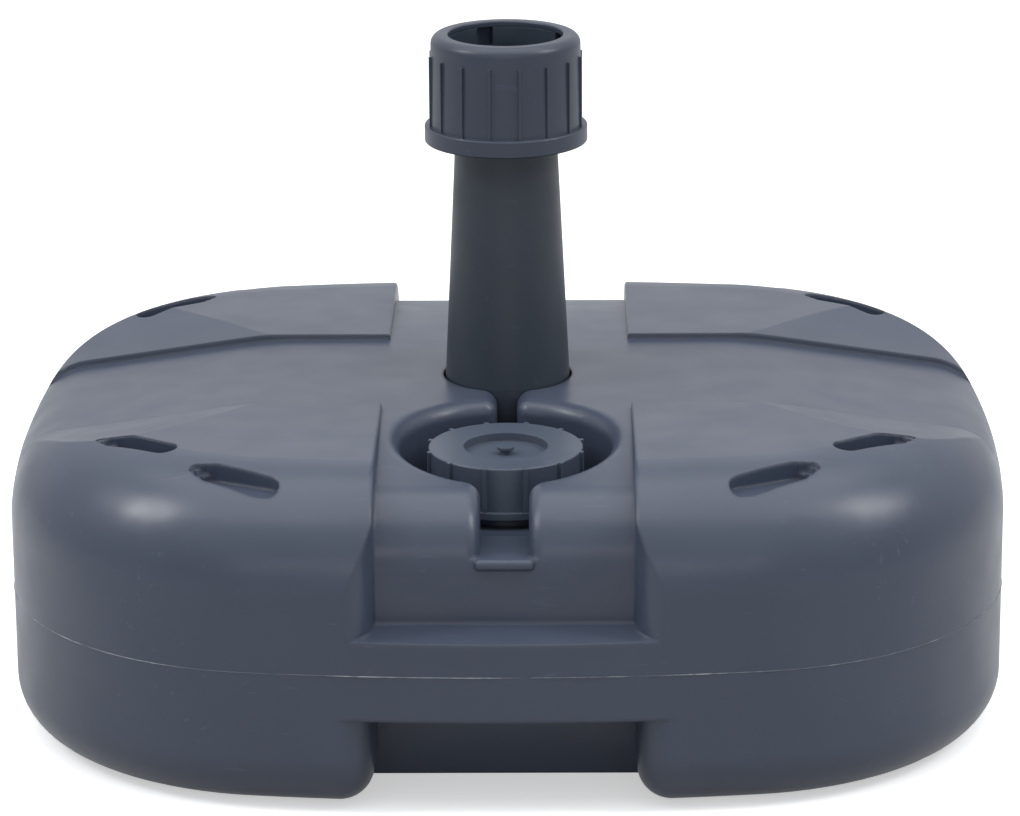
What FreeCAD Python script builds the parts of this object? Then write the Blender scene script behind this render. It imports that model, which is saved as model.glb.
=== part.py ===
"""Parasol base: a hollow blow-moulded tank, a stand tube, a screw clamp for the pole and a filler cap.

Row frame: millimetres, +Z up, X along the long side, the filler at -Y.
The origin is on the floor under the middle of the pole.
"""
import FreeCAD
import Part
import Sketcher

import math
import os

doc = FreeCAD.newDocument("parasol_base")

# ---------------------------------------------------------------- driving sizes
sizes = doc.addObject("Spreadsheet::Sheet", "Sizes")
DRIVING_SIZES = [
    # tank: bow radii of the plan outline, and its roundings
    ("tank_length", 480), ("tank_depth", 400), ("front_bow", 885), ("side_bow", 821),
    ("corner_bow", 137), ("shoulder_round", 50), ("foot_round", 26), ("wall", 3),
    # raised corner pads and the cross-shaped deck between them; its arms to the sides slope down
    ("pad_crown", 155.4), ("pad_edge_round", 1.5),
    ("deck_crown", 152.6), ("deck_fall_round", 650), ("cross_width", 116), ("cross_flat", 105),
    ("cross_fall", 8.3), ("cross_fall_round", 200), ("cross_end_round", 33), ("cross_end_step", 0.8),
    ("saddle_round", 560), ("saddle_rise", 0.3),
    # hand grips: a pocket above and a notch below leave a hollow handle at front and rear
    ("grip_width", 119), ("grip_setback", 18.2), ("grip_foot", 88.3), ("grip_lip", 84),
    ("grip_shoulder", 32.5), ("grip_flare", 15),
    ("notch_width", 121), ("notch_height", 46.6), ("notch_depth", 56), ("notch_round", 16),
    # filler well, its drain spout, and the slot from the tube socket
    ("well_offset", 98), ("well_width", 100), ("well_floor", 117), ("well_lip", 7),
    ("spout_width", 22.4), ("spout_floor", 119), ("spout_round", 9),
    ("tongue_width", 27), ("tongue_drop", 5), ("tongue_reach", 2.6), ("tongue_round", 2),
    ("drain_width", 9.6), ("drain_round", 7), ("lip_land", 1), ("hollow_overlap", 0.5),
    # recesses in the pads
    ("pad_slot_width", 13), ("pad_slot_depth", 10), ("slot_neck_width", 10), ("slot_neck_reach", 4.5),
    ("slot_neck_depth", 6.5), ("slot_tip_width", 7), ("slot_tip_reach", 8.5), ("slot_tip_depth", 4),
    ("side_slot_run", 27.5), ("side_slot_across", 171.8), ("side_slot_along", 117), ("side_slot_turn", 146),
    ("front_slot_run", 27.5), ("front_slot_across", 123.5), ("front_slot_along", 159.5),
    ("front_slot_turn", 153),
    # stand tube: pushed up through the tank from below, its foot flange under the tank
    ("tube_width", 60.6), ("tube_gap", 1.2), ("tube_wall", 4), ("tube_flange_width", 86),
    ("flange_thickness", 5), ("flange_clearance", 1.5), ("flange_lift", 3),
    ("tube_neck_width", 50), ("tube_neck_height", 262), ("throat_width", 40.5), ("throat_length", 30),
    ("pole_foot_width", 39), ("pole_foot_depth", 36), ("pole_foot_floor", 4), ("drain_hole_width", 8),
    ("tube_head_width", 58), ("tube_head_start", 273), ("tube_head_top", 300), ("head_wall", 2.8),
    # pole clamp: a collet with four slit fingers in the tube's conical mouth, and the nut over it
    ("collet_bore", 40), ("collet_tip", 277), ("collet_taper", 4), ("collet_seat_gap", 0.3),
    ("collet_step", 3), ("collet_funnel", 8), ("collet_ring_wall", 3.5), ("collet_ring_height", 16.4),
    ("collet_slit", 1.6), ("window_width", 8), ("window_height", 9), ("window_turn", 21.8),
    ("finger_count", 4), ("nut_play", 0.2), ("nut_ring_gap", 0.4), ("nut_edge_round", 0.8),
    ("nut_plate", 2.7), ("nut_mouth_width", 55.2), ("nut_wall", 5), ("nut_draft", 0.6),
    ("nut_height", 52.3), ("nut_rim_round", 4.6), ("nut_flange_reach", 2.7), ("nut_flange_height", 8.2),
    ("nut_rib_count", 16), ("nut_rib_width", 1.3), ("nut_rib_reach", 0.8), ("nut_rib_drop", 10),
    ("nut_rib_turn", 11),
    # filler cap, its seal, and the neck on the tank
    ("cap_width", 72.6), ("cap_top", 146.5), ("cap_height", 24.5), ("cap_plate", 3), ("cap_wall", 3.2),
    ("cap_recess_width", 39.5), ("cap_recess_depth", 4), ("knob_width", 8), ("knob_neck_width", 5),
    ("knob_height", 3.8), ("knob_head_height", 1.5), ("cap_rim_reach", 1.7), ("cap_rim_height", 3.3),
    ("cap_rib_count", 12), ("cap_rib_width", 2.2), ("cap_rib_reach", 1.4),
    ("seal_thickness", 1.8), ("seal_play", 0.2), ("seal_margin", 0.3), ("cap_edge_round", 0.8),
    ("neck_width", 61), ("neck_bore", 52),
]
for row, (alias, value) in enumerate(DRIVING_SIZES, start=1):
    sizes.set("A%d" % row, alias)
    sizes.set("B%d" % row, str(value))
    sizes.setAlias("B%d" % row, alias)
doc.recompute()


# heights and widths that more than one piece works from
NECK_TOP = "(cap_top - cap_plate - seal_thickness - 2 * seal_play)"
COLLET_TOP = "(tube_head_top + collet_step + collet_ring_height)"
NUT_TOP = "(tube_head_top + collet_step + collet_ring_height + nut_play + nut_plate)"
NUT_BORE = "(nut_mouth_width / 2 + collet_ring_wall + nut_ring_gap)"
CROSS_END = "(tank_length / 2 + cross_end_step)"
SADDLE_END = "(tank_length / 2 + cross_end_step + saddle_rise)"
ALIASES = {alias for alias, _ in DRIVING_SIZES}


# ---------------------------------------------------------------- helpers
def cells(expression):
    """An expression on the sheet's cells, with each cell named by its bare word."""
    words = []
    word = ""
    for letter in expression + " ":
        if letter.isalnum() or letter == "_":
            word += letter
            continue
        words.append("Sizes." + word if word in ALIASES else word)
        words.append(letter)
        word = ""
    return "".join(words).strip()


def number(expression):
    """The value that an expression on the sheet has now."""
    return float(sizes.evalExpression(cells(str(expression))))


def body_of(name):
    return doc.addObject("PartDesign::Body", name)


def sketch_on(body, role, name, lift=None):
    """An empty sketch on one of the body's own origin planes, lifted along the plane's normal."""
    sketch = body.newObject("Sketcher::SketchObject", name)
    plane = [part for part in body.Origin.OriginFeatures if part.Role == role][0]
    sketch.AttachmentSupport = (plane, "")
    sketch.MapMode = "FlatFace"
    if lift is not None:
        sketch.setExpression("AttachmentOffset.Base.z", cells(lift))
        doc.recompute()
    return sketch


def bind(sketch, kind, *places, to):
    """A dimension in a sketch that follows the sheet."""
    index = sketch.addConstraint(Sketcher.Constraint(kind, *places, number(to)))
    sketch.setExpression("Constraints[%d]" % index, cells(to))


def pin_point(sketch, geometry, point, across, up):
    """Ties a point to the sketch's origin, or to an axis where its coordinate is 0."""
    for kind, axis, size in (("DistanceX", -2, across), ("DistanceY", -1, up)):
        if size == "0":
            sketch.addConstraint(Sketcher.Constraint("PointOnObject", geometry, point, axis))
        elif size is not None:
            bind(sketch, kind, -1, 1, geometry, point, to=size)


def polygon(sketch, corners):
    """A closed outline with straight sides; each corner is a pair of expressions."""
    spots = [FreeCAD.Vector(number(x), number(y), 0) for x, y in corners]
    first = sketch.GeometryCount
    sides = [Part.LineSegment(a, b) for a, b in zip(spots, spots[1:] + spots[:1])]
    sketch.addGeometry(sides, False)
    count = len(sides)
    for side in range(count):
        following = first + (side + 1) % count
        sketch.addConstraint(Sketcher.Constraint("Coincident", first + side, 2, following, 1))
        pin_point(sketch, first + side, 1, *corners[side])


def rectangle(sketch, left, right, bottom, top):
    polygon(sketch, [(left, bottom), (right, bottom), (right, top), (left, top)])


def circle(sketch, across, up, width):
    """A circle of a diameter, with its centre tied to the sheet."""
    centre = FreeCAD.Vector(number(across), number(up), 0)
    radius = number(width) / 2
    ring = sketch.addGeometry(Part.Circle(centre, FreeCAD.Vector(0, 0, 1), radius), False)
    pin_point(sketch, ring, 3, across, up)
    bind(sketch, "Diameter", ring, to=width)


def settled(made, before, shrinks):
    """Recomputes, and stops if the new feature failed or changed nothing."""
    doc.recompute()
    shape = made.Shape
    if "Invalid" in made.State or "Error" in made.State or shape.isNull() or not shape.isValid():
        raise RuntimeError("%s failed" % made.Name)
    if before and (shape.Volume >= before if shrinks else shape.Volume <= before):
        raise RuntimeError("%s changed nothing" % made.Name)
    return made


def feature(body, kind, name, profile, **settings):
    """A sketch-based feature; text settings are expressions on the sheet."""
    before = body.Tip.Shape.Volume if body.Tip else 0
    made = body.newObject("PartDesign::" + kind, name)
    made.Profile = profile
    if kind in ("Revolution", "Groove"):
        made.ReferenceAxis = (profile, ["V_Axis"])
        made.Angle = 360
    for setting, value in settings.items():
        if setting in ("Length", "TaperAngle"):
            made.setExpression(setting, cells(value))
        else:
            setattr(made, setting, value)
    return settled(made, before, kind in ("Pocket", "Groove"))


def rounded(body, name, size, chosen, kind="Fillet"):
    """Rounds the edges of the body's last feature that the test chooses by their middle point."""
    last = body.Tip
    edges = []
    for index, edge in enumerate(last.Shape.Edges, start=1):
        middle = edge.valueAt((edge.FirstParameter + edge.LastParameter) / 2)
        if chosen(edge, middle):
            edges.append("Edge%d" % index)
    if not edges:
        raise RuntimeError("no edge for %s on %s" % (name, body.Label))
    made = body.newObject("PartDesign::" + kind, name)
    made.Base = (last, edges)
    made.setExpression("Radius" if kind == "Fillet" else "Size", cells(size))
    return settled(made, 0, True)


def about(value, target, slack=0.05):
    return abs(value - target) < slack


# ---------------------------------------------------------------- tank
def tank_outline(body, name, inset, lift=None):
    """Four shallow bows that meet at the corners, set in by a wall."""
    sketch = sketch_on(body, "XY_Plane", name, lift)
    half_length = "(tank_length / 2 - %s)" % inset
    half_depth = "(tank_depth / 2 - %s)" % inset
    front, side = "(front_bow - %s)" % inset, "(side_bow - %s)" % inset
    reach_x, reach_y = number(half_length), number(half_depth)
    radius_f, radius_s = number(front), number(side)
    # the corner where a front bow meets a side bow
    corner = FreeCAD.Vector(reach_x * 0.9, reach_y * 0.9, 0)
    for _ in range(30):
        corner.y = reach_y - radius_f + math.sqrt(radius_f ** 2 - corner.x ** 2)
        corner.x = reach_x - radius_s + math.sqrt(radius_s ** 2 - corner.y ** 2)
    up = FreeCAD.Vector(0, 0, 1)
    bows = []
    for turn in range(4):
        long_side = turn % 2 == 1
        sign = 1 if turn < 2 else -1
        radius = radius_f if long_side else radius_s
        offset = sign * ((reach_y if long_side else reach_x) - radius)
        centre = FreeCAD.Vector(0, offset, 0) if long_side else FreeCAD.Vector(offset, 0, 0)
        half = math.asin(corner.x / radius) if long_side else math.asin(corner.y / radius)
        middle = turn * math.pi / 2
        bows.append(Part.ArcOfCircle(Part.Circle(centre, up, radius), middle - half, middle + half))
    sketch.addGeometry(bows, False)
    for turn in range(4):
        sketch.addConstraint(Sketcher.Constraint("Coincident", turn, 2, (turn + 1) % 4, 1))
        long_side = turn % 2 == 1
        bind(sketch, "Radius", turn, to=front if long_side else side)
        offset = "%s - %s" % ((half_depth, front) if long_side else (half_length, side))
        if turn > 1:
            offset = "-(%s)" % offset
        pin_point(sketch, turn, 3, *(("0", offset) if long_side else (offset, "0")))
    return sketch


def tank_blank(body, inset, crown, top_round, foot_round, corner_round):
    """The plain rounded block: bowed outline, flat top, rounded shoulders and feet."""
    lift = None if inset == "0" else inset
    outline = tank_outline(body, body.Name + "_outline", inset, lift)
    feature(body, "Pad", body.Name + "_block", outline, Length="%s - %s" % (crown, inset))
    top_z, foot_z = number(crown), number(inset)
    rounded(body, body.Name + "_corners", corner_round,
            lambda edge, middle: edge.BoundBox.ZLength > top_z / 2)
    rounded(body, body.Name + "_shoulder", top_round, lambda edge, middle: about(middle.z, top_z))
    rounded(body, body.Name + "_foot", foot_round, lambda edge, middle: about(middle.z, foot_z))


def arm_profile(sketch, end, shift, top, axis="0"):
    """Side view of what lies above the deck from side to side: flat, then sloping down, then rounded off.

    The deck line is shifted outwards by an offset, and heights are counted from an axis.
    """
    bend, end_bend = "(cross_fall_round + %s)" % shift, "(cross_end_round + %s)" % shift
    crown = "(deck_crown + %s - %s)" % (shift, axis)
    fall = math.radians(number("cross_fall"))
    flat, level, outer = number("cross_flat"), number(crown), number(end)
    bend_r, end_r = number(bend), number(end_bend)
    slope_x, slope_z = flat + bend_r * math.sin(fall), level - bend_r * (1 - math.cos(fall))
    turn_x = outer - end_r * (1 - math.sin(fall))
    turn_z = slope_z - (turn_x - slope_x) * math.tan(fall)
    wall_z, top_z = turn_z - end_r * math.cos(fall), number(top)
    up, quarter = FreeCAD.Vector(0, 0, 1), math.pi / 2
    sketch.addGeometry([Part.LineSegment(FreeCAD.Vector(-x, z, 0), FreeCAD.Vector(x, z, 0))
                        for x, z in ((flat, level), (outer, top_z))], False)
    deck, lid = 0, 1
    for side, sign, end_point in ((1, "", 2), (-1, "-", 1)):
        bend_circle = Part.Circle(FreeCAD.Vector(side * flat, level - bend_r, 0), up, bend_r)
        end_circle = Part.Circle(FreeCAD.Vector(side * (outer - end_r), wall_z, 0), up, end_r)
        turns = (quarter - fall, quarter) if side > 0 else (quarter, quarter + fall)
        drops = (0, quarter - fall) if side > 0 else (quarter + fall, 2 * quarter)
        start, turn, foot, head = (FreeCAD.Vector(side * x, z, 0) for x, z in
                                   ((slope_x, slope_z), (turn_x, turn_z), (outer, wall_z), (outer, top_z)))
        fall_bend = sketch.GeometryCount
        slope, end_arc, wall = fall_bend + 1, fall_bend + 2, fall_bend + 3
        sketch.addGeometry([Part.ArcOfCircle(bend_circle, *turns), Part.LineSegment(start, turn),
                            Part.ArcOfCircle(end_circle, *drops), Part.LineSegment(foot, head)], False)
        inner, outer_end = (2, 1) if side > 0 else (1, 2)
        for kind, *places in (
                ("Tangent", deck, end_point, fall_bend, inner), ("Tangent", fall_bend, outer_end, slope, 1),
                ("Tangent", slope, 2, end_arc, inner), ("Tangent", end_arc, outer_end, wall, 1),
                ("Coincident", wall, 2, lid, end_point), ("Vertical", wall)):
            sketch.addConstraint(Sketcher.Constraint(kind, *places))
        pin_point(sketch, deck, end_point, "%scross_flat" % sign, crown)
        bind(sketch, "Radius", fall_bend, to=bend)
        bind(sketch, "Radius", end_arc, to=end_bend)
        pin_point(sketch, wall, 2, "%s(%s)" % (sign, end), top)
        pin_point(sketch, slope, 1, "%s(cross_flat + %s * sin(cross_fall * 1 deg))" % (sign, bend), None)
    return sketch


def grip_profile(body, name, end, bend, legs, crown="deck_crown"):
    """Side view of what the grip channel takes away: flat deck, wide falls, a bend at each end, and legs out."""
    sketch = sketch_on(body, "YZ_Plane", name)
    radius, bend_size, flat, level = (number(size) for size in ("deck_fall_round", bend, "cross_width / 2", crown))
    bend_x, fall_z = number(end) - bend_size, level - radius
    bend_z = fall_z + math.sqrt((radius - bend_size) ** 2 - (bend_x - flat) ** 2)
    joint = math.acos((bend_x - flat) / (radius - bend_size))
    up, quarter = FreeCAD.Vector(0, 0, 1), math.pi / 2
    sketch.addGeometry([Part.LineSegment(FreeCAD.Vector(-flat, level, 0), FreeCAD.Vector(flat, level, 0))], False)
    for side, sign, end_point in ((1, "", 2), (-1, "-", 1)):
        fall_circle = Part.Circle(FreeCAD.Vector(side * flat, fall_z, 0), up, radius)
        bend_circle = Part.Circle(FreeCAD.Vector(side * bend_x, bend_z, 0), up, bend_size)
        falls = (joint, quarter) if side > 0 else (quarter, 2 * quarter - joint)
        bends = (0, joint) if side > 0 else (2 * quarter - joint, 2 * quarter)
        fall = sketch.GeometryCount
        sketch.addGeometry([Part.ArcOfCircle(fall_circle, *falls), Part.ArcOfCircle(bend_circle, *bends)], False)
        inner, outer = (2, 1) if side > 0 else (1, 2)
        for kind, *places in (("Tangent", 0, end_point, fall, inner), ("Tangent", fall, outer, fall + 1, inner),
                              ("Horizontal", fall + 1, outer, fall + 1, 3)):
            sketch.addConstraint(Sketcher.Constraint(kind, *places))
        pin_point(sketch, 0, end_point, "%scross_width / 2" % sign, crown)
        bind(sketch, "Radius", fall, to="deck_fall_round")
        bind(sketch, "Radius", fall + 1, to=bend)
        pin_point(sketch, fall + 1, 3, "%s(%s - %s)" % (sign, end, bend), None)
    right_legs = [(number(x), number(z)) for x, z in legs]
    path = [(bend_x + bend_size, bend_z)] + right_legs
    path += [(-x, z) for x, z in reversed(path)]
    spots = [FreeCAD.Vector(x, z, 0) for x, z in path]
    first = sketch.GeometryCount
    sketch.addGeometry([Part.LineSegment(a, b) for a, b in zip(spots, spots[1:])], False)
    last = sketch.GeometryCount - 1
    for side in range(first, last):
        sketch.addConstraint(Sketcher.Constraint("Coincident", side, 2, side + 1, 1))
    sketch.addConstraint(Sketcher.Constraint("Coincident", first, 1, 2, 1))
    sketch.addConstraint(Sketcher.Constraint("Coincident", last, 2, 4, 2))
    for index, (x, z) in enumerate(legs):
        pin_point(sketch, first + index, 2, x, z)
        pin_point(sketch, last - index, 1, "-(%s)" % x, z)
    return sketch


def flare_outline(sketch, side):
    """Plan of one mouth flare: a rounded corner on each side of the grip channel."""
    half, flare = "grip_width / 2", "grip_flare"
    face = "(tank_depth / 2 - %s ^ 2 / (2 * front_bow) + 0.3)" % "(grip_width / 2 + grip_flare)"
    y_in, y_face, y_out = (side * number(text) for text in
                           (face + " - " + flare, face, "tank_depth / 2 + grip_setback"))
    x_in, x_out, radius = number(half), number(half + " + " + flare), number(flare)
    up = FreeCAD.Vector(0, 0, 1)
    first = sketch.GeometryCount
    quarter = math.pi / 2
    right = Part.Circle(FreeCAD.Vector(x_out, y_in, 0), up, radius)
    left = Part.Circle(FreeCAD.Vector(-x_out, y_in, 0), up, radius)
    turns = (quarter, 2 * quarter) if side > 0 else (2 * quarter, 3 * quarter)
    mirrored = (0, quarter) if side > 0 else (3 * quarter, 4 * quarter)
    sketch.addGeometry([Part.ArcOfCircle(right, *turns), Part.ArcOfCircle(left, *mirrored)], False)
    spots = [(x_out, y_face), (x_out, y_out), (-x_out, y_out), (-x_out, y_face)]
    spots = [FreeCAD.Vector(x, y, 0) for x, y in spots]
    sketch.addGeometry([Part.LineSegment(a, b) for a, b in zip(spots, spots[1:])], False)
    sketch.addGeometry([Part.LineSegment(FreeCAD.Vector(-x_in, y_in, 0), FreeCAD.Vector(x_in, y_in, 0))], False)
    face_end, inner_end = (1, 2) if side > 0 else (2, 1)
    joints = [(0, face_end, 2, 1), (2, 2, 3, 1), (3, 2, 4, 1), (4, 2, 1, inner_end), (1, face_end, 5, 1),
              (5, 2, 0, inner_end)]
    for one, end, other, start in joints:
        sketch.addConstraint(Sketcher.Constraint("Coincident", first + one, end, first + other, start))
    sign = "" if side > 0 else "-"
    inner_y = "%s(%s - %s)" % (sign, face, flare)
    pin_point(sketch, first, 3, "%s + %s" % (half, flare), inner_y)
    pin_point(sketch, first + 1, 3, "-(%s + %s)" % (half, flare), inner_y)
    bind(sketch, "Radius", first, to=flare)
    bind(sketch, "Radius", first + 1, to=flare)
    for kind, index in (("Vertical", 2), ("Horizontal", 3), ("Vertical", 4), ("Horizontal", 5)):
        sketch.addConstraint(Sketcher.Constraint(kind, first + index))
    pin_point(sketch, first + 3, 1, None, "%s(tank_depth / 2 + grip_setback)" % sign)


def grip_flares():
    """What the rounded mouths of the two grip channels take away, above the sloping pocket floor."""
    body = body_of("grip_flares")
    for side, word in ((-1, "front"), (1, "rear")):
        plan = sketch_on(body, "XY_Plane", word + "_flare_outline", "2 * grip_lip - grip_foot")
        flare_outline(plan, side)
        feature(body, "Pad", word + "_flare", plan, Length="pad_crown")
        sign = "" if side > 0 else "-"
        wall_y, outside = "tank_depth / 2 - grip_setback", "tank_depth / 2 + grip_setback"
        floor = sketch_on(body, "YZ_Plane", word + "_floor_profile")
        polygon(floor, [("%s(%s)" % (sign, wall_y), "grip_foot"), ("%s(%s)" % (sign, outside),
                        "2 * grip_lip - grip_foot"), ("%s(%s)" % (sign, outside), "10"),
                        ("%s(%s)" % (sign, wall_y), "10")])
        feature(body, "Pocket", word + "_floor", floor, Length="tank_length", SideType="Symmetric")
    return body


def saddles(body):
    """Lets the pads dip towards the ends of the cross channel, on a wide round about a level axis."""
    axis = "(deck_crown + saddle_round)"
    sketch = sketch_on(body, "XZ_Plane", "saddle_profile")
    sketch.setExpression("AttachmentOffset.Base.y", cells(axis))
    doc.recompute()
    arm_profile(sketch, SADDLE_END, "saddle_rise", "(pad_crown + 40 - %s)" % axis, axis)
    before = body.Tip.Shape.Volume
    dip = body.newObject("PartDesign::Groove", "saddles")
    dip.Profile = sketch
    dip.ReferenceAxis = (sketch, ["H_Axis"])
    dip.Midplane = True
    dip.setExpression("Angle", cells("3 * asin(tank_depth / 2 / saddle_round)"))
    settled(dip, before, True)


def tank_form():
    """The tank's outside, as one solid block."""
    body = body_of("tank_form")
    tank_blank(body, "0", "pad_crown", "shoulder_round", "foot_round", "corner_bow")
    saddles(body)

    cross = sketch_on(body, "XZ_Plane", "cross_channel_profile")
    arm_profile(cross, CROSS_END, "0", "pad_crown + 40")
    feature(body, "Pocket", "cross_channel", cross, Length="cross_width", SideType="Symmetric")
    wall_y, outside = "(tank_depth / 2 - grip_setback)", "tank_depth / 2 + grip_setback"
    grips = grip_profile(body, "grip_channel_profile", wall_y, "grip_shoulder",
                            [(wall_y, "grip_foot"), (outside, "2 * grip_lip - grip_foot"),
                             (outside, "pad_crown + 40")])
    feature(body, "Pocket", "grip_channel", grips, Length="grip_width", SideType="Symmetric")

    half_grip, pad_z = number("grip_width") / 2, number("pad_crown")
    rounded(body, "pad_edges", "pad_edge_round",
            lambda edge, middle: about(abs(middle.x), half_grip) and about(middle.z, pad_z))

    flares = grip_flares()
    mouths = body.newObject("PartDesign::Boolean", "grip_mouths")
    mouths.Type = "Cut"
    mouths.setObjects([flares])
    settled(mouths, 0, True)

    notch = sketch_on(body, "XY_Plane", "notch_outline")
    half, deep = "notch_width / 2", "tank_depth / 2 - notch_depth"
    rectangle(notch, "-" + half, half, "-(tank_depth / 2 + 10)", "-(%s)" % deep)
    rectangle(notch, "-" + half, half, deep, "tank_depth / 2 + 10")
    feature(body, "Pocket", "hand_notches", notch, Length="notch_height", Reversed=True)
    half_notch = number("notch_width") / 2
    rounded(body, "notch_sides", "notch_round",
            lambda edge, middle: about(abs(middle.x), half_notch) and middle.z < number("notch_height")
            and abs(middle.y) > number("tank_depth / 2 - notch_depth") + 1)

    filler_well(body)
    socket = sketch_on(body, "XY_Plane", "socket_outline")
    circle(socket, "0", "0", "tube_width + 2 * tube_gap")
    feature(body, "Pocket", "tube_socket", socket, Length="pad_crown + 20", Reversed=True)
    seat = sketch_on(body, "XY_Plane", "flange_seat_outline")
    circle(seat, "0", "0", "tube_flange_width + 2 * flange_clearance")
    feature(body, "Pocket", "flange_seat", seat, Length="flange_lift + flange_thickness", Reversed=True)
    pad_slots(body)
    return body


def filler_well(body):
    """The round well for the filler cap, its spout to the front grip and its slot to the tube socket."""
    well = sketch_on(body, "XY_Plane", "well_outline", "well_floor")
    circle(well, "0", "-well_offset", "well_width")
    feature(body, "Pocket", "filler_well", well, Length="well_floor", Reversed=True)
    spout = sketch_on(body, "XY_Plane", "spout_outline", "spout_floor")
    rectangle(spout, "-spout_width / 2", "spout_width / 2", "-tank_depth / 2", "-well_offset")
    feature(body, "Pocket", "spout", spout, Length="spout_floor", Reversed=True)
    drain = sketch_on(body, "XY_Plane", "drain_outline", "spout_floor")
    rectangle(drain, "-drain_width / 2", "drain_width / 2", "-well_offset", "0")
    feature(body, "Pocket", "drain", drain, Length="spout_floor", Reversed=True)
    well_y, reach = -number("well_offset"), number("well_width") / 2
    for name, width, size in (("spout", "spout_width", "spout_round"),
                              ("drain", "drain_width", "drain_round")):
        half = number(width) / 2
        rounded(body, name + "_corners", size,
                lambda edge, middle: about(abs(middle.x), half)
                and about(math.hypot(middle.x, middle.y - well_y), reach)
                and edge.BoundBox.ZLength > 5 and middle.z > number("spout_floor"))
    wall_y = number("tank_depth / 2 - grip_setback")

    def on_rim(edge, middle):
        low = edge.BoundBox.ZMin
        inside = abs(middle.x) < reach + 1 and -wall_y < middle.y < -1
        return inside and low > number("spout_floor") - 0.1 and middle.z > number("spout_floor") + 8 \
            and not (edge.BoundBox.ZLength > 5 and edge.BoundBox.YLength < 1)

    rounded(body, "well_lips", "well_lip", on_rim)
    tongue = sketch_on(body, "XZ_Plane", "spout_tongue_outline", "tank_depth / 2 - grip_setback - wall / 2")
    rectangle(tongue, "-tongue_width / 2", "tongue_width / 2", "spout_floor - tongue_drop", "spout_floor")
    feature(body, "Pad", "spout_tongue", tongue, Length="wall / 2 + tongue_reach")
    tongue_y, tongue_z = -wall_y - number("tongue_reach"), number("spout_floor")
    rounded(body, "spout_tongue_edges", "tongue_round", lambda edge, middle: middle.z < tongue_z + 0.1
            and tongue_z - number("tongue_drop") - 0.1 < middle.z and middle.y < -wall_y - 0.1
            and middle.y > tongue_y - 0.1)
    pit = sketch_on(body, "XY_Plane", "neck_outline", "well_floor")
    circle(pit, "0", "-well_offset", "neck_width")
    feature(body, "Pad", "filler_neck", pit, Length=NECK_TOP + " - well_floor")
    bore = sketch_on(body, "XY_Plane", "neck_bore_outline", "well_floor - 2 * wall")
    circle(bore, "0", "-well_offset", "neck_bore")
    feature(body, "Pocket", "neck_bore", bore, Length="well_floor", Reversed=True)


SLOT_SHIFT = "(slot_tip_reach + slot_tip_width / 2 - pad_slot_width / 2) / 2"


def pad_slots(body):
    """Eight recesses, two on each corner pad, each with a stepped and narrowing end towards the rear."""
    recesses(body, "pad_recesses", "pad_slot_width", "pad_slot_depth", "-%s_run / 2", "%s_run / 2")
    recesses(body, "recess_necks", "slot_neck_width", "slot_neck_depth", "%s_run / 2",
             "%s_run / 2 + slot_neck_reach")
    recesses(body, "recess_tips", "slot_tip_width", "slot_tip_depth",
             "%s_run / 2", "%s_run / 2 + slot_tip_reach")


def recesses(body, name, width, depth, near, far):
    """Cuts one stage of all eight recesses down to a depth under the pads."""
    sketch = sketch_on(body, "XY_Plane", name + "_outlines", "pad_crown - (%s)" % depth)
    for place in ("side_slot", "front_slot"):
        ends = ["(%s - %s)" % (end % place, SLOT_SHIFT) for end in (near, far)]
        for flip_x in (1, -1):
            for flip_y in (1, -1):
                stadium(sketch, place, flip_x, flip_y, width, *ends)
    feature(body, "Pocket", name, sketch, Length="2 * (%s)" % depth, Reversed=True)


def stadium(sketch, place, flip_x, flip_y, width, near, far):
    """One slot outline on a pad; its ends are counted from the place's middle towards the rear."""
    turn = math.radians(number(place + "_turn"))
    along = FreeCAD.Vector(flip_x * flip_y * math.cos(turn), math.sin(turn), 0)
    across = FreeCAD.Vector(-along.y, along.x, 0)
    centre = FreeCAD.Vector(flip_x * number(place + "_across"), flip_y * number(place + "_along"), 0)
    half_width = number(width) / 2
    head, foot = centre + along * number(far), centre + along * number(near)
    first = sketch.GeometryCount
    sketch.addGeometry([
        Part.Arc(head - across * half_width, head + along * half_width, head + across * half_width),
        Part.LineSegment(head + across * half_width, foot + across * half_width),
        Part.Arc(foot + across * half_width, foot - along * half_width, foot - across * half_width),
        Part.LineSegment(foot - across * half_width, head - across * half_width)], False)
    for side in range(4):
        sketch.addConstraint(Sketcher.Constraint("Tangent", first + side, 2, first + (side + 1) % 4, 1))
    bind(sketch, "Radius", first, to="(%s) / 2" % width)
    for arc, end in ((first, far), (first + 2, near)):
        pin_point(sketch, arc, 3, "%d * %s_across + %d * cos(%s_turn * 1 deg) * %s"
                  % (flip_x, place, flip_x * flip_y, place, end),
                  "%d * %s_along + sin(%s_turn * 1 deg) * %s" % (flip_y, place, place, end))


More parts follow.
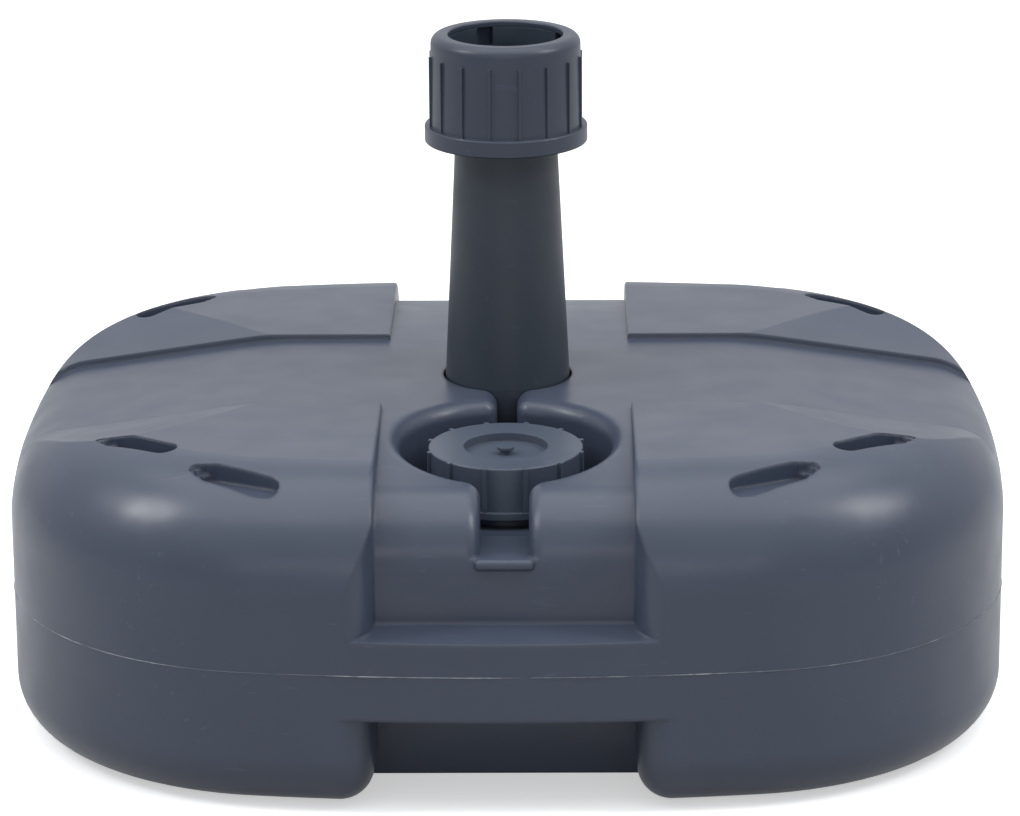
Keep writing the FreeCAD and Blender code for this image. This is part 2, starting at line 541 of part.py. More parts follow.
def tank_hollow():
    """The water space: the block set in by a wall, less everything that is pressed into the tank."""
    body = body_of("tank_hollow")
    tank_blank(body, "wall", "(deck_crown - wall)", "shoulder_round - wall", "foot_round - wall",
               "corner_bow - wall")
    arms = sketch_on(body, "XZ_Plane", "hollow_cross_profile")
    arm_profile(arms, CROSS_END, "-wall", "pad_crown + 40")
    feature(body, "Pocket", "hollow_cross", arms, Length="tank_depth", SideType="Symmetric")
    wall_y, outside = "(tank_depth / 2 - grip_setback - wall)", "tank_depth / 2 + grip_setback"
    grips = grip_profile(body, "hollow_grip_profile", wall_y, "(grip_shoulder - wall)",
                            [(wall_y, "grip_foot - wall"), (outside, "2 * grip_lip - grip_foot - wall"),
                             (outside, "pad_crown + 40")], "(deck_crown - wall + hollow_overlap)")
    feature(body, "Pocket", "hollow_grips", grips, Length="grip_width + 2 * grip_flare + 2 * wall",
            SideType="Symmetric")
    notch = sketch_on(body, "XY_Plane", "hollow_notch_outline")
    half, deep = "(notch_width / 2 + notch_round)", "(tank_depth / 2 - notch_depth - wall)"
    rectangle(notch, "-" + half, half, "-(tank_depth / 2 + 10)", "-" + deep)
    rectangle(notch, "-" + half, half, deep, "tank_depth / 2 + 10")
    feature(body, "Pocket", "hollow_notches", notch, Length="notch_height + wall", Reversed=True)
    well = sketch_on(body, "XY_Plane", "hollow_well_outline", "well_floor - wall")
    circle(well, "0", "-well_offset", "well_width + 2 * well_lip + 2 * lip_land")
    feature(body, "Pocket", "hollow_well", well, Length="well_floor", Reversed=True)
    for name, low_y, high_y in (("spout", "-tank_depth / 2", "-well_offset"), ("drain", "-well_offset", "0")):
        slot = sketch_on(body, "XY_Plane", "hollow_%s_outline" % name, "spout_floor - wall")
        half = "(%s_width / 2 + %s_round + lip_land)" % (name, name)
        rectangle(slot, "-" + half, half, low_y, high_y)
        feature(body, "Pocket", "hollow_" + name, slot, Length="spout_floor", Reversed=True)
    recesses(body, "hollow_recesses", "pad_slot_width + 2 * wall", "pad_slot_depth + wall", "-%s_run / 2",
             "%s_run / 2 + slot_tip_reach")
    socket = sketch_on(body, "XY_Plane", "hollow_socket_outline")
    circle(socket, "0", "0", "tube_width + 2 * tube_gap + 2 * wall")
    feature(body, "Pocket", "hollow_socket", socket, Length="pad_crown + 20", Reversed=True)
    seat = sketch_on(body, "XY_Plane", "hollow_seat_outline")
    circle(seat, "0", "0", "tube_flange_width + 2 * flange_clearance + 2 * wall")
    feature(body, "Pocket", "hollow_seat", seat, Length="flange_lift + flange_thickness + wall", Reversed=True)
    return body


def tank():
    """The blow-moulded shell: the outside form with the water space taken out."""
    shell = doc.addObject("Part::Cut", "tank_shell")
    shell.Label = "tank"
    shell.Base = tank_form()
    shell.Tool = tank_hollow()
    return shell


# ---------------------------------------------------------------- turned and moulded pieces
def turned(name, corners):
    """A revolved piece from half of its section; each corner is radius and height."""
    body = body_of(name)
    section = sketch_on(body, "XZ_Plane", name + "_section")
    polygon(section, corners)
    feature(body, "Revolution", name + "_turned", section)
    return body


def circled(body, original, axis_sketch, count):
    """Repeats a feature evenly about the upright axis."""
    pattern = body.newObject("PartDesign::PolarPattern", original.Name + "_circle")
    pattern.Originals = [original]
    pattern.Axis = (axis_sketch, ["N_Axis"])
    pattern.Angle = 360
    pattern.setExpression("Occurrences", cells(count))
    body.Tip = pattern
    return settled(pattern, 0, True)


def stand_tube():
    """The tapered tube that carries the pole: flange, socket for the pole's foot, throat and head."""
    under = "(flange_lift + flange_thickness)"
    neck, outer, throat = "tube_neck_width / 2", "tube_width / 2", "throat_width / 2"
    foot_top = "(flange_lift + pole_foot_floor + pole_foot_depth)"
    return turned("stand_tube", [
        ("drain_hole_width / 2", "flange_lift"), ("tube_flange_width / 2", "flange_lift"),
        ("tube_flange_width / 2", under), (outer, under), (outer, "deck_crown"),
        (neck, "tube_neck_height"), (neck, "tube_head_start - (tube_head_width - tube_neck_width) / 2"),
        ("tube_head_width / 2", "tube_head_start"), ("tube_head_width / 2", "tube_head_top"),
        ("tube_head_width / 2 - head_wall", "tube_head_top"),
        ("tube_head_width / 2 - head_wall - collet_taper", "collet_tip"),
        (throat, "collet_tip"), (throat, "tube_neck_height - throat_length"),
        (outer + " - tube_wall", "deck_crown"), (outer + " - tube_wall", foot_top),
        ("pole_foot_width / 2", foot_top), ("pole_foot_width / 2", "flange_lift + pole_foot_floor"),
        ("drain_hole_width / 2", "flange_lift + pole_foot_floor")])


def clamp_collet():
    """The split collet: a ring with four windows, a funnel, and fingers that close on the pole."""
    body = turned("clamp_collet", [
        ("collet_bore / 2", "collet_tip + collet_seat_gap"),
        ("tube_head_width / 2 - head_wall - collet_taper - collet_seat_gap", "collet_tip + collet_seat_gap"),
        ("tube_head_width / 2 - head_wall - collet_seat_gap", "tube_head_top"),
        ("tube_head_width / 2 - head_wall - collet_seat_gap", "tube_head_top + collet_step"),
        ("nut_mouth_width / 2 + collet_ring_wall", "tube_head_top + collet_step"),
        ("nut_mouth_width / 2 + collet_ring_wall", COLLET_TOP), ("nut_mouth_width / 2", COLLET_TOP),
        ("nut_mouth_width / 2", "tube_head_top + 2 * collet_step"),
        ("collet_bore / 2", "tube_head_top + 2 * collet_step - collet_funnel")])
    window_foot = COLLET_TOP + " - window_height"
    window = radial_strip(body, "window", "window_width", "0", COLLET_TOP, window_foot, "window_turn")
    cut = feature(body, "Pocket", "window", window, Length="2 * window_height", Reversed=True)
    circled(body, cut, window, "finger_count")
    slit = radial_strip(body, "slit", "collet_slit", "0", COLLET_TOP, "collet_tip", "window_turn")
    cut = feature(body, "Pocket", "slit", slit,
                  Length="tube_head_top + 2 * collet_step - collet_tip", Reversed=True)
    circled(body, cut, slit, "finger_count")
    return body


def clamp_nut():
    """The ribbed hand nut whose top plate presses the collet down."""
    bottom, top = "(%s - nut_height)" % NUT_TOP, NUT_TOP
    outer, mouth = "(%s + nut_wall)" % NUT_BORE, "nut_mouth_width / 2"
    body = turned("clamp_nut", [
        (NUT_BORE, bottom), (outer + " + nut_flange_reach", bottom),
        (outer + " + nut_flange_reach", bottom + " + nut_flange_height"), (outer, bottom + " + nut_flange_height"),
        (outer + " - nut_draft", top), (mouth, top), (mouth, top + " - nut_plate"), (NUT_BORE, top + " - nut_plate")])
    top_z, bottom_z, outer_r = number(top), number(bottom), number(outer)
    rounded(body, "nut_rim", "nut_rim_round", lambda edge, middle: about(middle.z, top_z)
            and math.hypot(middle.x, middle.y) > outer_r - 2)
    rounded(body, "nut_mouth", "nut_edge_round", lambda edge, middle: about(middle.z, top_z)
            and about(math.hypot(middle.x, middle.y), number(mouth)))
    rounded(body, "nut_flange_edges", "nut_edge_round", lambda edge, middle:
            math.hypot(middle.x, middle.y) > outer_r + 1 and edge.BoundBox.ZLength < 1)
    rib = radial_strip(body, "nut_rib", "nut_rib_width", outer + " - nut_draft - 1", outer + " + nut_rib_reach",
                       bottom + " + nut_flange_height / 2", "nut_rib_turn")
    raised = feature(body, "Pad", "nut_rib", rib, Length="nut_height - nut_flange_height / 2 - nut_rib_drop")
    circled(body, raised, rib, "nut_rib_count")
    return body


def filler_cap():
    """The screw cap on the filler neck: ribbed skirt, dished top and a small knob in the dish."""
    bottom, dish = "(cap_top - cap_height)", "(cap_top - cap_recess_depth)"
    outer, rim = "cap_width / 2", "cap_width / 2 + cap_rim_reach"
    knob, knob_top = "knob_width / 2", "(%s + knob_height)" % dish
    knob_neck, head = "knob_neck_width / 2", "(%s + knob_height - knob_head_height)" % dish
    inner, plug = "cap_width / 2 - cap_wall", "cap_recess_width / 2 + cap_plate"
    body = turned("filler_cap", [
        ("0", dish + " - cap_plate"), (plug, dish + " - cap_plate"), (plug, "cap_top - cap_plate"),
        (inner, "cap_top - cap_plate"), (inner, bottom), (rim, bottom), (rim, bottom + " + cap_rim_height"),
        (outer, bottom + " + cap_rim_height"), (outer, "cap_top"), ("cap_recess_width / 2", "cap_top"),
        ("cap_recess_width / 2", dish), (knob_neck, dish), (knob_neck, head), (knob, head), (knob, knob_top),
        ("0", knob_top)])
    top_z, outer_r = number("cap_top"), number(outer)
    rounded(body, "cap_edge", "cap_edge_round", lambda edge, middle: about(middle.z, top_z)
            and math.hypot(middle.x, middle.y) > outer_r - 1)
    rib = radial_strip(body, "cap_rib", "cap_rib_width", outer + " - 2", outer + " + cap_rib_reach",
                       bottom + " + cap_rim_height / 2", "180 / cap_rib_count")
    raised = feature(body, "Pad", "cap_rib", rib, Length="cap_height - cap_rim_height / 2")
    circled(body, raised, rib, "cap_rib_count")
    body.setExpression("Placement.Base.y", cells("-well_offset"))
    return body


def cap_seal():
    """The flat rubber ring between the cap's plate and the neck's rim."""
    foot = NECK_TOP + " + seal_play"
    body = turned("cap_seal", [
        ("neck_bore / 2 + seal_margin", foot), ("neck_width / 2 - seal_margin", foot),
        ("neck_width / 2 - seal_margin", foot + " + seal_thickness"),
        ("neck_bore / 2 + seal_margin", foot + " + seal_thickness")])
    body.setExpression("Placement.Base.y", cells("-well_offset"))
    return body


def radial_strip(body, name, width, start, end, lift, turn):
    """A strip across the wall of a round piece, turned from +Y by an angle, at a height."""
    sketch = sketch_on(body, "XY_Plane", name + "_outline", lift)
    sketch.setExpression("AttachmentOffset.Rotation.Angle", cells("(%s) * 1 deg" % turn))
    rectangle(sketch, "-%s / 2" % width, "%s / 2" % width, start, end)
    return sketch


def exported(objects):
    """Checks every object of the document, then writes one file for each sub-part."""
    doc.recompute()
    for item in doc.Objects:
        if "Invalid" in item.State or "Error" in item.State:
            raise RuntimeError("%s did not build" % item.Label)
    os.makedirs("parts", exist_ok=True)
    for item in objects:
        shape = item.Shape
        if shape.isNull() or not shape.isValid() or not shape.Solids:
            raise RuntimeError("%s has no sound solid" % item.Label)
        shape.exportStep("parts/%s.step" % item.Label)
        print(item.Label, len(shape.Solids), "solid", len(shape.Faces), "faces",
              round(shape.Volume / 1000, 1), "cm3")


exported([tank(), stand_tube(), clamp_collet(), clamp_nut(), filler_cap(), cap_seal()])
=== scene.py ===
"""Parasol base, dressed: anthracite blow-moulded tank, stand tube, pole clamp and filler cap.

Metres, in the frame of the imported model: +Z up, the filler at -Y, the floor at Z = 0.
"""
import math

import bmesh
import bpy
from mathutils import Matrix, Vector, noise


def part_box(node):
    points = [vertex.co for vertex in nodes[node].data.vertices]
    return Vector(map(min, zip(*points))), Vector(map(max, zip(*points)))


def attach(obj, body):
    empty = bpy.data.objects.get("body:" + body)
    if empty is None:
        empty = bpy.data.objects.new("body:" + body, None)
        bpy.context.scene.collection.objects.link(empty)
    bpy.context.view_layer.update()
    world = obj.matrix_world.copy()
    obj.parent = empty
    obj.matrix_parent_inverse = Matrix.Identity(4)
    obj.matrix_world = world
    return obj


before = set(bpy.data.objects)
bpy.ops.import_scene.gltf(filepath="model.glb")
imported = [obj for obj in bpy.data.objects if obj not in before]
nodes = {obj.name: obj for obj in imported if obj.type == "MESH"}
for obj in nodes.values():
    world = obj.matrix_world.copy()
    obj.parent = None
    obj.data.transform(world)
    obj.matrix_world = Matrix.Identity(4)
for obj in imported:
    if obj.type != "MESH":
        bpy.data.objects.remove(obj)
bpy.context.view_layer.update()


# ---------------------------------------------------------------- Tank
# One hollow piece of anthracite polyethylene, blow-moulded in two mould halves. Its skin has the
# mould's fine blasted grain, slow waves where the wall shrank as it cooled, and light scuffs.
TANK_COLOUR = (0.044, 0.056, 0.086)
TANK_PALE = (0.050, 0.063, 0.094)
TANK_ROUGHNESS = 0.31
TANK_EDGE_ROUND = 0.0025
TANK_WAVE_DEPTH = 0.0012
WAVE_SIZE = 0.055
GRAIN_SIZE = 0.0007
GRAIN_DEPTH = 0.00006
GRAIN_STRENGTH = 0.22
SPECKLE_SIZE = GRAIN_SIZE * 2.2
MOTTLE_SIZE = 0.035
DULL_SIZE = MOTTLE_SIZE * 0.6
GLOSSIER_BY = 0.02
DULLER_BY = 0.04
SCUFF_STRETCH = (0.12, 2.6, 1.0)
SHORT_SCUFF = 0.003
LONG_SCUFF = 0.0045
SHORT_SCUFF_TURN = 0.35
LONG_SCUFF_TURN = 2.0
SCUFF_DULLING = 0.2
SCUFF_GAIN = 1.9
SCUFF_LIFT = 0.02


def node_of(tree, kind, **settings):
    """A shader node; names with underscores for spaces set its sockets."""
    made = tree.nodes.new("ShaderNode" + kind)
    for name, value in settings.items():
        socket = made.inputs.get(name.replace("_", " "))
        if socket is None:
            setattr(made, name, value)
        else:
            socket.default_value = value
    return made


def cloud(tree, place, size, detail=3.0, stretch=(1, 1, 1), turn=0.0):
    """Noise whose lumps are about one size, stretched and turned on the piece."""
    spread = node_of(tree, "Mapping", vector_type="POINT")
    spread.inputs["Scale"].default_value = [side / size for side in stretch]
    spread.inputs["Rotation"].default_value = (0, 0, turn)
    grain = node_of(tree, "TexNoise", Detail=detail, Scale=1.0)
    tree.links.new(place.outputs["Object"], spread.inputs["Vector"])
    tree.links.new(spread.outputs["Vector"], grain.inputs["Vector"])
    return grain.outputs["Fac"]


def graded(tree, source, low, high, start=0.0, end=1.0):
    """Maps a value from start..end to low..high, and holds it there."""
    scaled = node_of(tree, "MapRange", clamp=True)
    for socket, value in zip(("From Min", "From Max", "To Min", "To Max"), (start, end, low, high)):
        scaled.inputs[socket].default_value = value
    tree.links.new(source, scaled.inputs["Value"])
    return scaled.outputs["Result"]


def mixed(tree, share, under, over):
    """A colour between two colours; each may be a socket or a plain colour.

    A Mix node has a socket for every kind of value: inputs 6 and 7 and output 2 are its colours.
    """
    blend = node_of(tree, "Mix", data_type="RGBA")
    for socket, value in ((blend.inputs[0], share), (blend.inputs[6], under), (blend.inputs[7], over)):
        if isinstance(value, tuple):
            socket.default_value = (*value, 1)
        elif isinstance(value, float):
            socket.default_value = value
        else:
            tree.links.new(value, socket)
    return blend.outputs[2]


def summed(tree, one, two, operation="ADD"):
    """The sum of two values, or another operation on them; each may be a socket or a number."""
    total = node_of(tree, "Math", operation=operation)
    for socket, value in zip(total.inputs, (one, two)):
        if isinstance(value, float):
            socket.default_value = value
        else:
            tree.links.new(value, socket)
    return total.outputs[0]


def softened(tree, reach):
    """The edges as they leave a mould: a little rounded wherever two faces meet."""
    return node_of(tree, "Bevel", samples=4, Radius=reach).outputs["Normal"]


def bumped(tree, height, strength, depth, under=None):
    """A bump of a height in metres, over an earlier one."""
    bump = node_of(tree, "Bump", Strength=strength, Distance=depth)
    tree.links.new(height, bump.inputs["Height"])
    if under is not None:
        tree.links.new(under, bump.inputs["Normal"])
    return bump.outputs["Normal"]


def new_material(name):
    """A material, with its tree, its shader and the node that gives its coordinates."""
    made = bpy.data.materials.new(name)
    made.use_nodes = True
    tree = made.node_tree
    return made, tree, tree.nodes["Principled BSDF"], node_of(tree, "TexCoord")


def scuffs(tree, place, size, turn, share):
    """Fine strokes of one direction, kept to a few patches."""
    strokes = cloud(tree, place, size, detail=2.0, stretch=SCUFF_STRETCH, turn=turn)
    patches = cloud(tree, place, size * 6, detail=1.0, turn=turn + 1)
    lines = graded(tree, strokes, 0.0, 1.0, start=0.66, end=0.72)
    worn_places = graded(tree, patches, 0.0, share, start=0.52, end=0.62)
    return summed(tree, lines, worn_places, "MULTIPLY")


def moulded_plastic(name, colour, pale, roughness, wave=0.0, scuffed=0.25, edge_round=0.0006):
    """Satin moulded plastic: mottled colour, blasted grain, slow waves and scuffs."""
    made, tree, shader, place = new_material(name)
    mottle = graded(tree, cloud(tree, place, MOTTLE_SIZE, detail=2.0), 0.0, 0.65, start=0.3, end=0.7)
    speckle = graded(tree, cloud(tree, place, SPECKLE_SIZE, detail=2.0), 0.0, 0.35, start=0.35, end=0.7)
    body_colour = mixed(tree, summed(tree, mottle, speckle), colour, pale)
    short_marks = scuffs(tree, place, SHORT_SCUFF, SHORT_SCUFF_TURN, scuffed)
    long_marks = scuffs(tree, place, LONG_SCUFF, LONG_SCUFF_TURN, scuffed)
    marks = summed(tree, short_marks, long_marks, "MAXIMUM")
    worn = tuple(min(1.0, tone * SCUFF_GAIN + SCUFF_LIFT) for tone in pale)
    tree.links.new(mixed(tree, marks, body_colour, worn), shader.inputs["Base Color"])
    dull = graded(tree, cloud(tree, place, DULL_SIZE, detail=1.0),
                  roughness - GLOSSIER_BY, roughness + DULLER_BY, start=0.3, end=0.7)
    scuff_dull = graded(tree, marks, 0.0, SCUFF_DULLING)
    tree.links.new(summed(tree, dull, scuff_dull), shader.inputs["Roughness"])
    shader.inputs["IOR"].default_value = 1.5
    shader.inputs["Specular IOR Level"].default_value = 0.4
    grain = cloud(tree, place, GRAIN_SIZE, detail=2.0)
    relief = bumped(tree, grain, GRAIN_STRENGTH, GRAIN_DEPTH, softened(tree, edge_round))
    if wave:
        relief = bumped(tree, cloud(tree, place, WAVE_SIZE, detail=1.0), 1.0, wave, relief)
    tree.links.new(relief, shader.inputs["Normal"])
    return made


def dressed(node, material):
    """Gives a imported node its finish."""
    nodes[node].material_slots[0].material = material


tank_skin = moulded_plastic("blow_moulded_skin", TANK_COLOUR, TANK_PALE, TANK_ROUGHNESS,
                            wave=TANK_WAVE_DEPTH, edge_round=TANK_EDGE_ROUND)
dressed("tank", tank_skin)


# ---------------------------------------------------------------- Parting line
# The thin flash that the two mould halves leave right round the tank. It is trimmed by hand, so it
# stands a little proud in places, is cut flush in others, and is pale where the blade scraped it.
SEAM_HEIGHT = 0.0685
SEAM_HALF = 0.00035
SEAM_PROUD = 0.0005
SEAM_SUNK = 0.00012
SEAM_THICK = 0.0006
SEAM_UNEVEN_PER_METRE = 60
SCRAPED_COLOUR = (0.30, 0.32, 0.34)
SCRAPE_LENGTH = 0.03
NICK_LENGTH = 0.004
WELD = 1e-6


def cut_across(mesh, height, **sides):
    """Cuts a bmesh at a height; sides say which way is out and whether that side goes."""
    everything = mesh.verts[:] + mesh.edges[:] + mesh.faces[:]
    bmesh.ops.bisect_plane(mesh, geom=everything, plane_co=(0, 0, height), **sides)


def outer_belt(source, low, high):
    """The strip of a mesh's outside between two heights, as a new bmesh."""
    belt = bmesh.new()
    belt.from_mesh(source.data)
    bmesh.ops.remove_doubles(belt, verts=belt.verts, dist=WELD)
    cut_across(belt, low, plane_no=(0, 0, -1), clear_outer=True)
    cut_across(belt, high, plane_no=(0, 0, 1), clear_outer=True)
    cut_across(belt, (low + high) / 2, plane_no=(0, 0, 1))
    outermost = max(belt.verts, key=lambda corner: corner.co.x)
    kept = {outermost}
    waiting = [outermost]
    while waiting:
        for edge in waiting.pop().link_edges:
            for corner in edge.verts:
                if corner not in kept:
                    kept.add(corner)
                    waiting.append(corner)
    inner = [corner for corner in belt.verts if corner not in kept]
    bmesh.ops.delete(belt, geom=inner, context="VERTS")
    return belt


def new_piece(name, mesh, material, smooth=True):
    """Makes a bmesh an object at the origin."""
    data = bpy.data.meshes.new(name)
    mesh.to_mesh(data)
    mesh.free()
    data.materials.append(material)
    for face in data.polygons:
        face.use_smooth = smooth
    made = bpy.data.objects.new(name, data)
    bpy.context.scene.collection.objects.link(made)
    return made


def trimmed_flash():
    """The tank's colour with scraped dashes along it."""
    made, tree, shader, place = new_material("trimmed_flash")
    dashes = graded(tree, cloud(tree, place, SCRAPE_LENGTH, detail=4.0), 0.25, 1.0, start=0.42, end=0.54)
    nicks = graded(tree, cloud(tree, place, NICK_LENGTH, detail=2.0), 0.3, 1.0, start=0.35, end=0.6)
    scraped = summed(tree, dashes, nicks, "MULTIPLY")
    tree.links.new(mixed(tree, scraped, TANK_COLOUR, SCRAPED_COLOUR), shader.inputs["Base Color"])
    tree.links.new(graded(tree, nicks, 0.4, 0.65), shader.inputs["Roughness"])
    tree.links.new(bumped(tree, cloud(tree, place, 0.001, detail=2.0), 0.4, 0.0001), shader.inputs["Normal"])
    return made


def parting_line():
    """A ridge with its crest at the seam's height and its edges just under the tank's skin."""
    belt = outer_belt(nodes["tank"], SEAM_HEIGHT - SEAM_HALF, SEAM_HEIGHT + SEAM_HALF)
    belt.normal_update()
    outward = {corner: Vector((corner.normal.x, corner.normal.y, 0)).normalized() for corner in belt.verts}
    for corner, way in outward.items():
        on_crest = abs(corner.co.z - SEAM_HEIGHT) < SEAM_HALF / 2
        uneven = 0.5 + noise.noise(corner.co * SEAM_UNEVEN_PER_METRE)
        corner.co += way * (SEAM_PROUD * uneven if on_crest else -SEAM_SUNK)
    return new_piece("parting_line", belt, trimmed_flash())


flash = parting_line()
wall = flash.modifiers.new("thickness", "SOLIDIFY")
wall.thickness = SEAM_THICK
wall.offset = -1
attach(flash, "base")


# ---------------------------------------------------------------- Stand tube
# An injection-moulded polypropylene tube, pushed up through the tank. Its head carries the outer
# thread of the clamp: a coarse right-hand ridge that the nut runs on.
TUBE_COLOUR = (0.021, 0.029, 0.041)
TUBE_PALE = (0.027, 0.036, 0.050)
CLAMP_PITCH = 0.006
HEAD_RADIUS = 0.029
HEAD_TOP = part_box("stand_tube")[1].z
HEAD_TURNS = 3.75
HEAD_BARE = 0.002
THREAD_REACH = 0.0017
THREAD_SUNK = 0.0003
THREAD_FLANK_PER_PITCH = 0.2
THREAD_CREST_PER_PITCH = 0.09
THREAD_STEPS_PER_TURN = 72
THREAD_RUN_OUT = 0.25

tube_skin = moulded_plastic("tube_skin", TUBE_COLOUR, TUBE_PALE, roughness=0.42, scuffed=0.2)
dressed("stand_tube", tube_skin)


def thread(name, material, radius, reach, pitch, foot, turns, centre=(0, 0)):
    """A right-hand thread ridge on a wall; a negative reach points inwards.

    Its foot is a little inside the wall, and it runs out to nothing at both ends.
    """
    ridge = bmesh.new()
    flank = pitch * THREAD_FLANK_PER_PITCH
    crest = pitch * THREAD_CREST_PER_PITCH
    sunk = math.copysign(THREAD_SUNK, reach)
    top = radius + reach
    section = [(radius - sunk, -flank), (top, -crest), (top, crest), (radius - sunk, flank)]
    corners = [ridge.verts.new((across, 0, foot + up)) for across, up in section]
    loop = [ridge.edges.new((a, b)) for a, b in zip(corners, corners[1:] + corners[:1])]
    steps = round(THREAD_STEPS_PER_TURN * turns)
    swept = bmesh.ops.spin(ridge, geom=corners + loop, cent=(0, 0, 0), axis=(0, 0, 1),
                           dvec=(0, 0, pitch * turns / steps), angle=math.tau * turns, steps=steps)
    last = [part for part in swept["geom_last"] if isinstance(part, bmesh.types.BMVert)]
    ridge.faces.new(corners)
    bmesh.ops.contextual_create(ridge, geom=last)
    run_out = THREAD_RUN_OUT / turns
    for corner in ridge.verts:
        across = math.hypot(corner.co.x, corner.co.y)
        share = (corner.co.z - foot) / (pitch * turns)
        fade = max(0.0, min(1.0, share / run_out, (1 - share) / run_out))
        wanted = radius - sunk + (across - radius + sunk) * fade
        corner.co.x *= wanted / across
        corner.co.y *= wanted / across
    bmesh.ops.recalc_face_normals(ridge, faces=ridge.faces)
    bmesh.ops.translate(ridge, verts=ridge.verts, vec=(centre[0], centre[1], 0))
    return new_piece(name, ridge, material, smooth=False)


head_foot = HEAD_TOP - HEAD_BARE - CLAMP_PITCH * HEAD_TURNS
tube_thread = thread("tube_thread", tube_skin, HEAD_RADIUS, THREAD_REACH, CLAMP_PITCH, head_foot, HEAD_TURNS)
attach(tube_thread, "base")


# ---------------------------------------------------------------- Clamp collet
# The slit collet that hangs in the tube's mouth and closes on the pole as the nut is turned down.
# It is injection-moulded polypropylene, of the tube's finish and a shade lighter.
COLLET_COLOUR = (0.024, 0.033, 0.048)
COLLET_PALE = (0.03, 0.04, 0.057)

collet_skin = moulded_plastic("collet_skin", COLLET_COLOUR, COLLET_PALE, roughness=0.4, scuffed=0.2)
dressed("clamp_collet", collet_skin)


# ---------------------------------------------------------------- Clamp nut
# The injection-moulded hand nut, a shade lighter than the tube and a little glossier.
# Its own thread runs between the turns of the tube's.
NUT_COLOUR = (0.030, 0.039, 0.061)
NUT_PALE = (0.037, 0.047, 0.071)
CLAMP_PLAY = 0.0025

nut_skin = moulded_plastic("nut_skin", NUT_COLOUR, NUT_PALE, roughness=0.36, scuffed=0.2)
dressed("clamp_nut", nut_skin)

nut_thread = thread("nut_thread", nut_skin, HEAD_RADIUS + CLAMP_PLAY, -THREAD_REACH, CLAMP_PITCH,
                    head_foot - CLAMP_PITCH / 2, HEAD_TURNS)
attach(nut_thread, "nut")


# ---------------------------------------------------------------- Filler cap
# A ribbed screw cap of polypropylene that closes the filler. It runs on a finer thread round the
# tank's neck, which is blow-moulded with the tank.
CAP_COLOUR = (0.050, 0.064, 0.092)
CAP_PALE = (0.060, 0.076, 0.106)
CAP_PITCH = 0.005
CAP_PLAY = 0.0026
CAP_TURNS = 3
NECK_RADIUS = 0.0305
NECK_TURNS = CAP_TURNS - 0.25

cap_skin = moulded_plastic("cap_skin", CAP_COLOUR, CAP_PALE, roughness=0.38, scuffed=0.35)
dressed("filler_cap", cap_skin)

cap_low, cap_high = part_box("filler_cap")
cap_centre = ((cap_low.x + cap_high.x) / 2, (cap_low.y + cap_high.y) / 2)
cap_foot = cap_low.z + CAP_PITCH / 2
cap_thread = thread("cap_thread", cap_skin, NECK_RADIUS + CAP_PLAY, -THREAD_REACH, CAP_PITCH,
                    cap_foot, CAP_TURNS, cap_centre)
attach(cap_thread, "cap")

neck_thread = thread("neck_thread", tank_skin, NECK_RADIUS, THREAD_REACH, CAP_PITCH,
                     cap_foot + CAP_PITCH / 2, NECK_TURNS, cap_centre)
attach(neck_thread, "base")


# ---------------------------------------------------------------- Cap seal
# The sealing ring in the cap: black rubber with a faint bloom, held under the cap's plate and
# pressed on the rim of the neck.
RUBBER_COLOUR = (0.016, 0.016, 0.017)
RUBBER_BLOOM = (0.03, 0.03, 0.032)
BLOOM_SIZE = 0.008
RUBBER_GRAIN = 0.0006


def sealing_rubber():
    """Black rubber with a faint bloom."""
    made, tree, shader, place = new_material("sealing_rubber")
    bloom = graded(tree, cloud(tree, place, BLOOM_SIZE), 0.0, 1.0, start=0.4, end=0.7)
    tree.links.new(mixed(tree, bloom, RUBBER_COLOUR, RUBBER_BLOOM), shader.inputs["Base Color"])
    tree.links.new(graded(tree, bloom, 0.6, 0.75), shader.inputs["Roughness"])
    grain = cloud(tree, place, RUBBER_GRAIN, detail=2.0)
    tree.links.new(bumped(tree, grain, 0.3, 0.00005), shader.inputs["Normal"])
    return made


dressed("cap_seal", sealing_rubber())


# ---------------------------------------------------------------- Studio
# A pale floor under a white sky, a wide softbox overhead, a small one at each side and a long low
# one in front.
FLOOR_REACH = 12.0
FLOOR_COLOUR = (0.8, 0.8, 0.8, 1)
FLOOR_GLOW = 0.48
FLOOR_AWAY_COLOUR = (0.25, 0.26, 0.28, 1)
FLOOR_IN_GLOSS = 0.55
SKY_COLOUR = (0.96, 0.98, 1, 1)
SKY_HIGH = 0.85
SKY_LOW = 0.32
SKY_HIGH_FROM = 0.8
SKY_IN_GLOSS = 0.7
WHITE = (1, 1, 1, 1)
MIDDLE = (0, 0, 0.1)


def seen_directly(tree, in_gloss):
    """1 for rays from the camera or through glass, and a share of it for rays off gloss."""
    path = node_of(tree, "LightPath")
    clear = summed(tree, path.outputs["Is Camera Ray"], path.outputs["Is Transmission Ray"], "MAXIMUM")
    mirrored = summed(tree, path.outputs["Is Glossy Ray"], in_gloss, "MULTIPLY")
    return summed(tree, clear, mirrored, "MAXIMUM")


def shared(tree, share, under, over, output):
    """Sends one shader or another to an output, by a share."""
    both = node_of(tree, "MixShader")
    tree.links.new(share, both.inputs[0])
    tree.links.new(under.outputs[0], both.inputs[1])
    tree.links.new(over.outputs[0], both.inputs[2])
    tree.links.new(both.outputs[0], tree.nodes[output].inputs["Surface"])


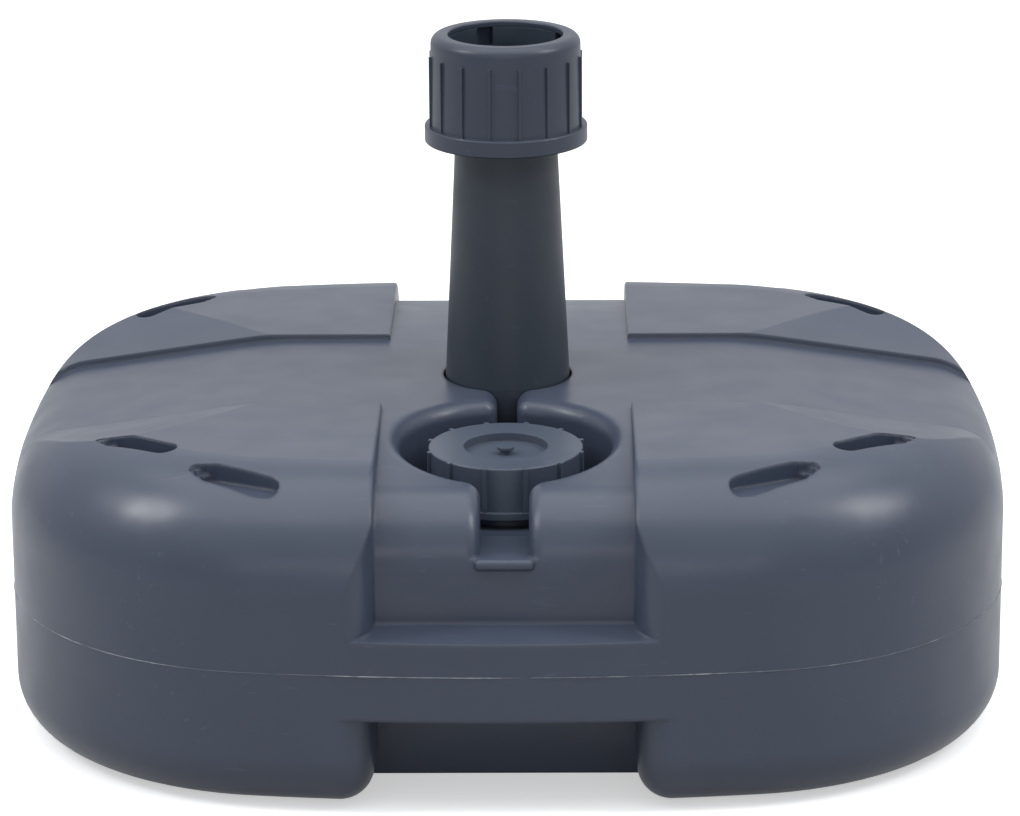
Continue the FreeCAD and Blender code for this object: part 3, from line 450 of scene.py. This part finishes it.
def pale_floor():
    """Glowing nearly white where it is seen, and dim in the light it throws on the object."""
    made = bpy.data.materials.new("pale_floor")
    made.use_nodes = True
    tree = made.node_tree
    tree.nodes.remove(tree.nodes["Principled BSDF"])
    matte = node_of(tree, "BsdfDiffuse", Color=FLOOR_COLOUR)
    dim = node_of(tree, "BsdfDiffuse", Color=FLOOR_AWAY_COLOUR)
    glow = node_of(tree, "Emission", Strength=FLOOR_GLOW)
    bright = node_of(tree, "AddShader")
    tree.links.new(matte.outputs[0], bright.inputs[0])
    tree.links.new(glow.outputs[0], bright.inputs[1])
    shared(tree, seen_directly(tree, FLOOR_IN_GLOSS), dim, bright, "Material Output")
    return made


def studio_floor():
    """One square of floor under the whole."""
    slab = bmesh.new()
    bmesh.ops.create_grid(slab, x_segments=1, y_segments=1, size=FLOOR_REACH)
    return new_piece("studio_floor", slab, pale_floor(), smooth=False)


studio_floor()


def white_sky():
    """White to the camera; for the object, bright overhead and dim at the horizon."""
    world = bpy.data.worlds.new("white_sky")
    bpy.context.scene.world = world
    world.use_nodes = True
    tree = world.node_tree
    place = node_of(tree, "TexCoord")
    split = node_of(tree, "SeparateXYZ")
    tree.links.new(place.outputs["Generated"], split.inputs[0])
    sky = tree.nodes["Background"]
    sky.inputs["Color"].default_value = SKY_COLOUR
    light = graded(tree, split.outputs["Z"], SKY_LOW, SKY_HIGH, end=SKY_HIGH_FROM)
    tree.links.new(light, sky.inputs["Strength"])
    white = node_of(tree, "Background", Strength=1.0, Color=WHITE)
    shared(tree, seen_directly(tree, SKY_IN_GLOSS), sky, white, "World Output")


white_sky()


def softbox(name, place, width, height, watts):
    """A rectangular lamp aimed at the object's middle."""
    lamp = bpy.data.lights.new(name, "AREA")
    lamp.shape = "RECTANGLE"
    lamp.size = width
    lamp.size_y = height
    lamp.energy = watts
    holder = bpy.data.objects.new(name, lamp)
    holder.location = place
    holder.rotation_euler = (Vector(MIDDLE) - Vector(place)).to_track_quat("-Z", "Y").to_euler()
    bpy.context.scene.collection.objects.link(holder)


softbox("overhead", place=(0, -0.1, 1.7), width=2.2, height=1.8, watts=21)
for name, side in (("left", -1), ("right", 1)):
    softbox(name, place=(side * 1.24, -0.32, 1.21), width=0.3, height=0.5, watts=8)
softbox("front", place=(0, -2.6, 0.72), width=1.8, height=0.25, watts=4)


# ---------------------------------------------------------------- Camera
# A long lens a little above the rim, looking down at the middle of the whole.
CAMERA_AWAY = 2.2
CAMERA_DOWN = math.radians(17.25)
CAMERA_ASIDE = math.radians(0.7)
CAMERA_ROLL = math.radians(-0.4)
CAMERA_AIM = Vector((0, 0, 0.1345))
LENS_LENGTH_MM = 158.2
FILM_WIDTH_MM = 36
LENS_SHIFT = 0.002
FURTHEST_SEEN = 50


def camera():
    """Stands the camera where it looks at its aim, turned a little about its own axis."""
    lens = bpy.data.cameras.new("camera")
    lens.lens = LENS_LENGTH_MM
    lens.sensor_width = FILM_WIDTH_MM
    lens.shift_x = LENS_SHIFT
    lens.clip_end = FURTHEST_SEEN
    holder = bpy.data.objects.new("camera", lens)
    level = math.cos(CAMERA_DOWN)
    aside = math.sin(CAMERA_ASIDE) * level
    back = math.cos(CAMERA_ASIDE) * level
    towards = Vector((aside, -back, math.sin(CAMERA_DOWN)))
    holder.location = CAMERA_AIM + towards * CAMERA_AWAY
    level_view = (-towards).to_track_quat("-Z", "Y").to_matrix()
    holder.rotation_euler = (level_view @ Matrix.Rotation(CAMERA_ROLL, 3, "Z")).to_euler()
    bpy.context.scene.collection.objects.link(holder)
    bpy.context.scene.camera = holder


camera()
bpy.context.scene.view_settings.view_transform = "Standard"
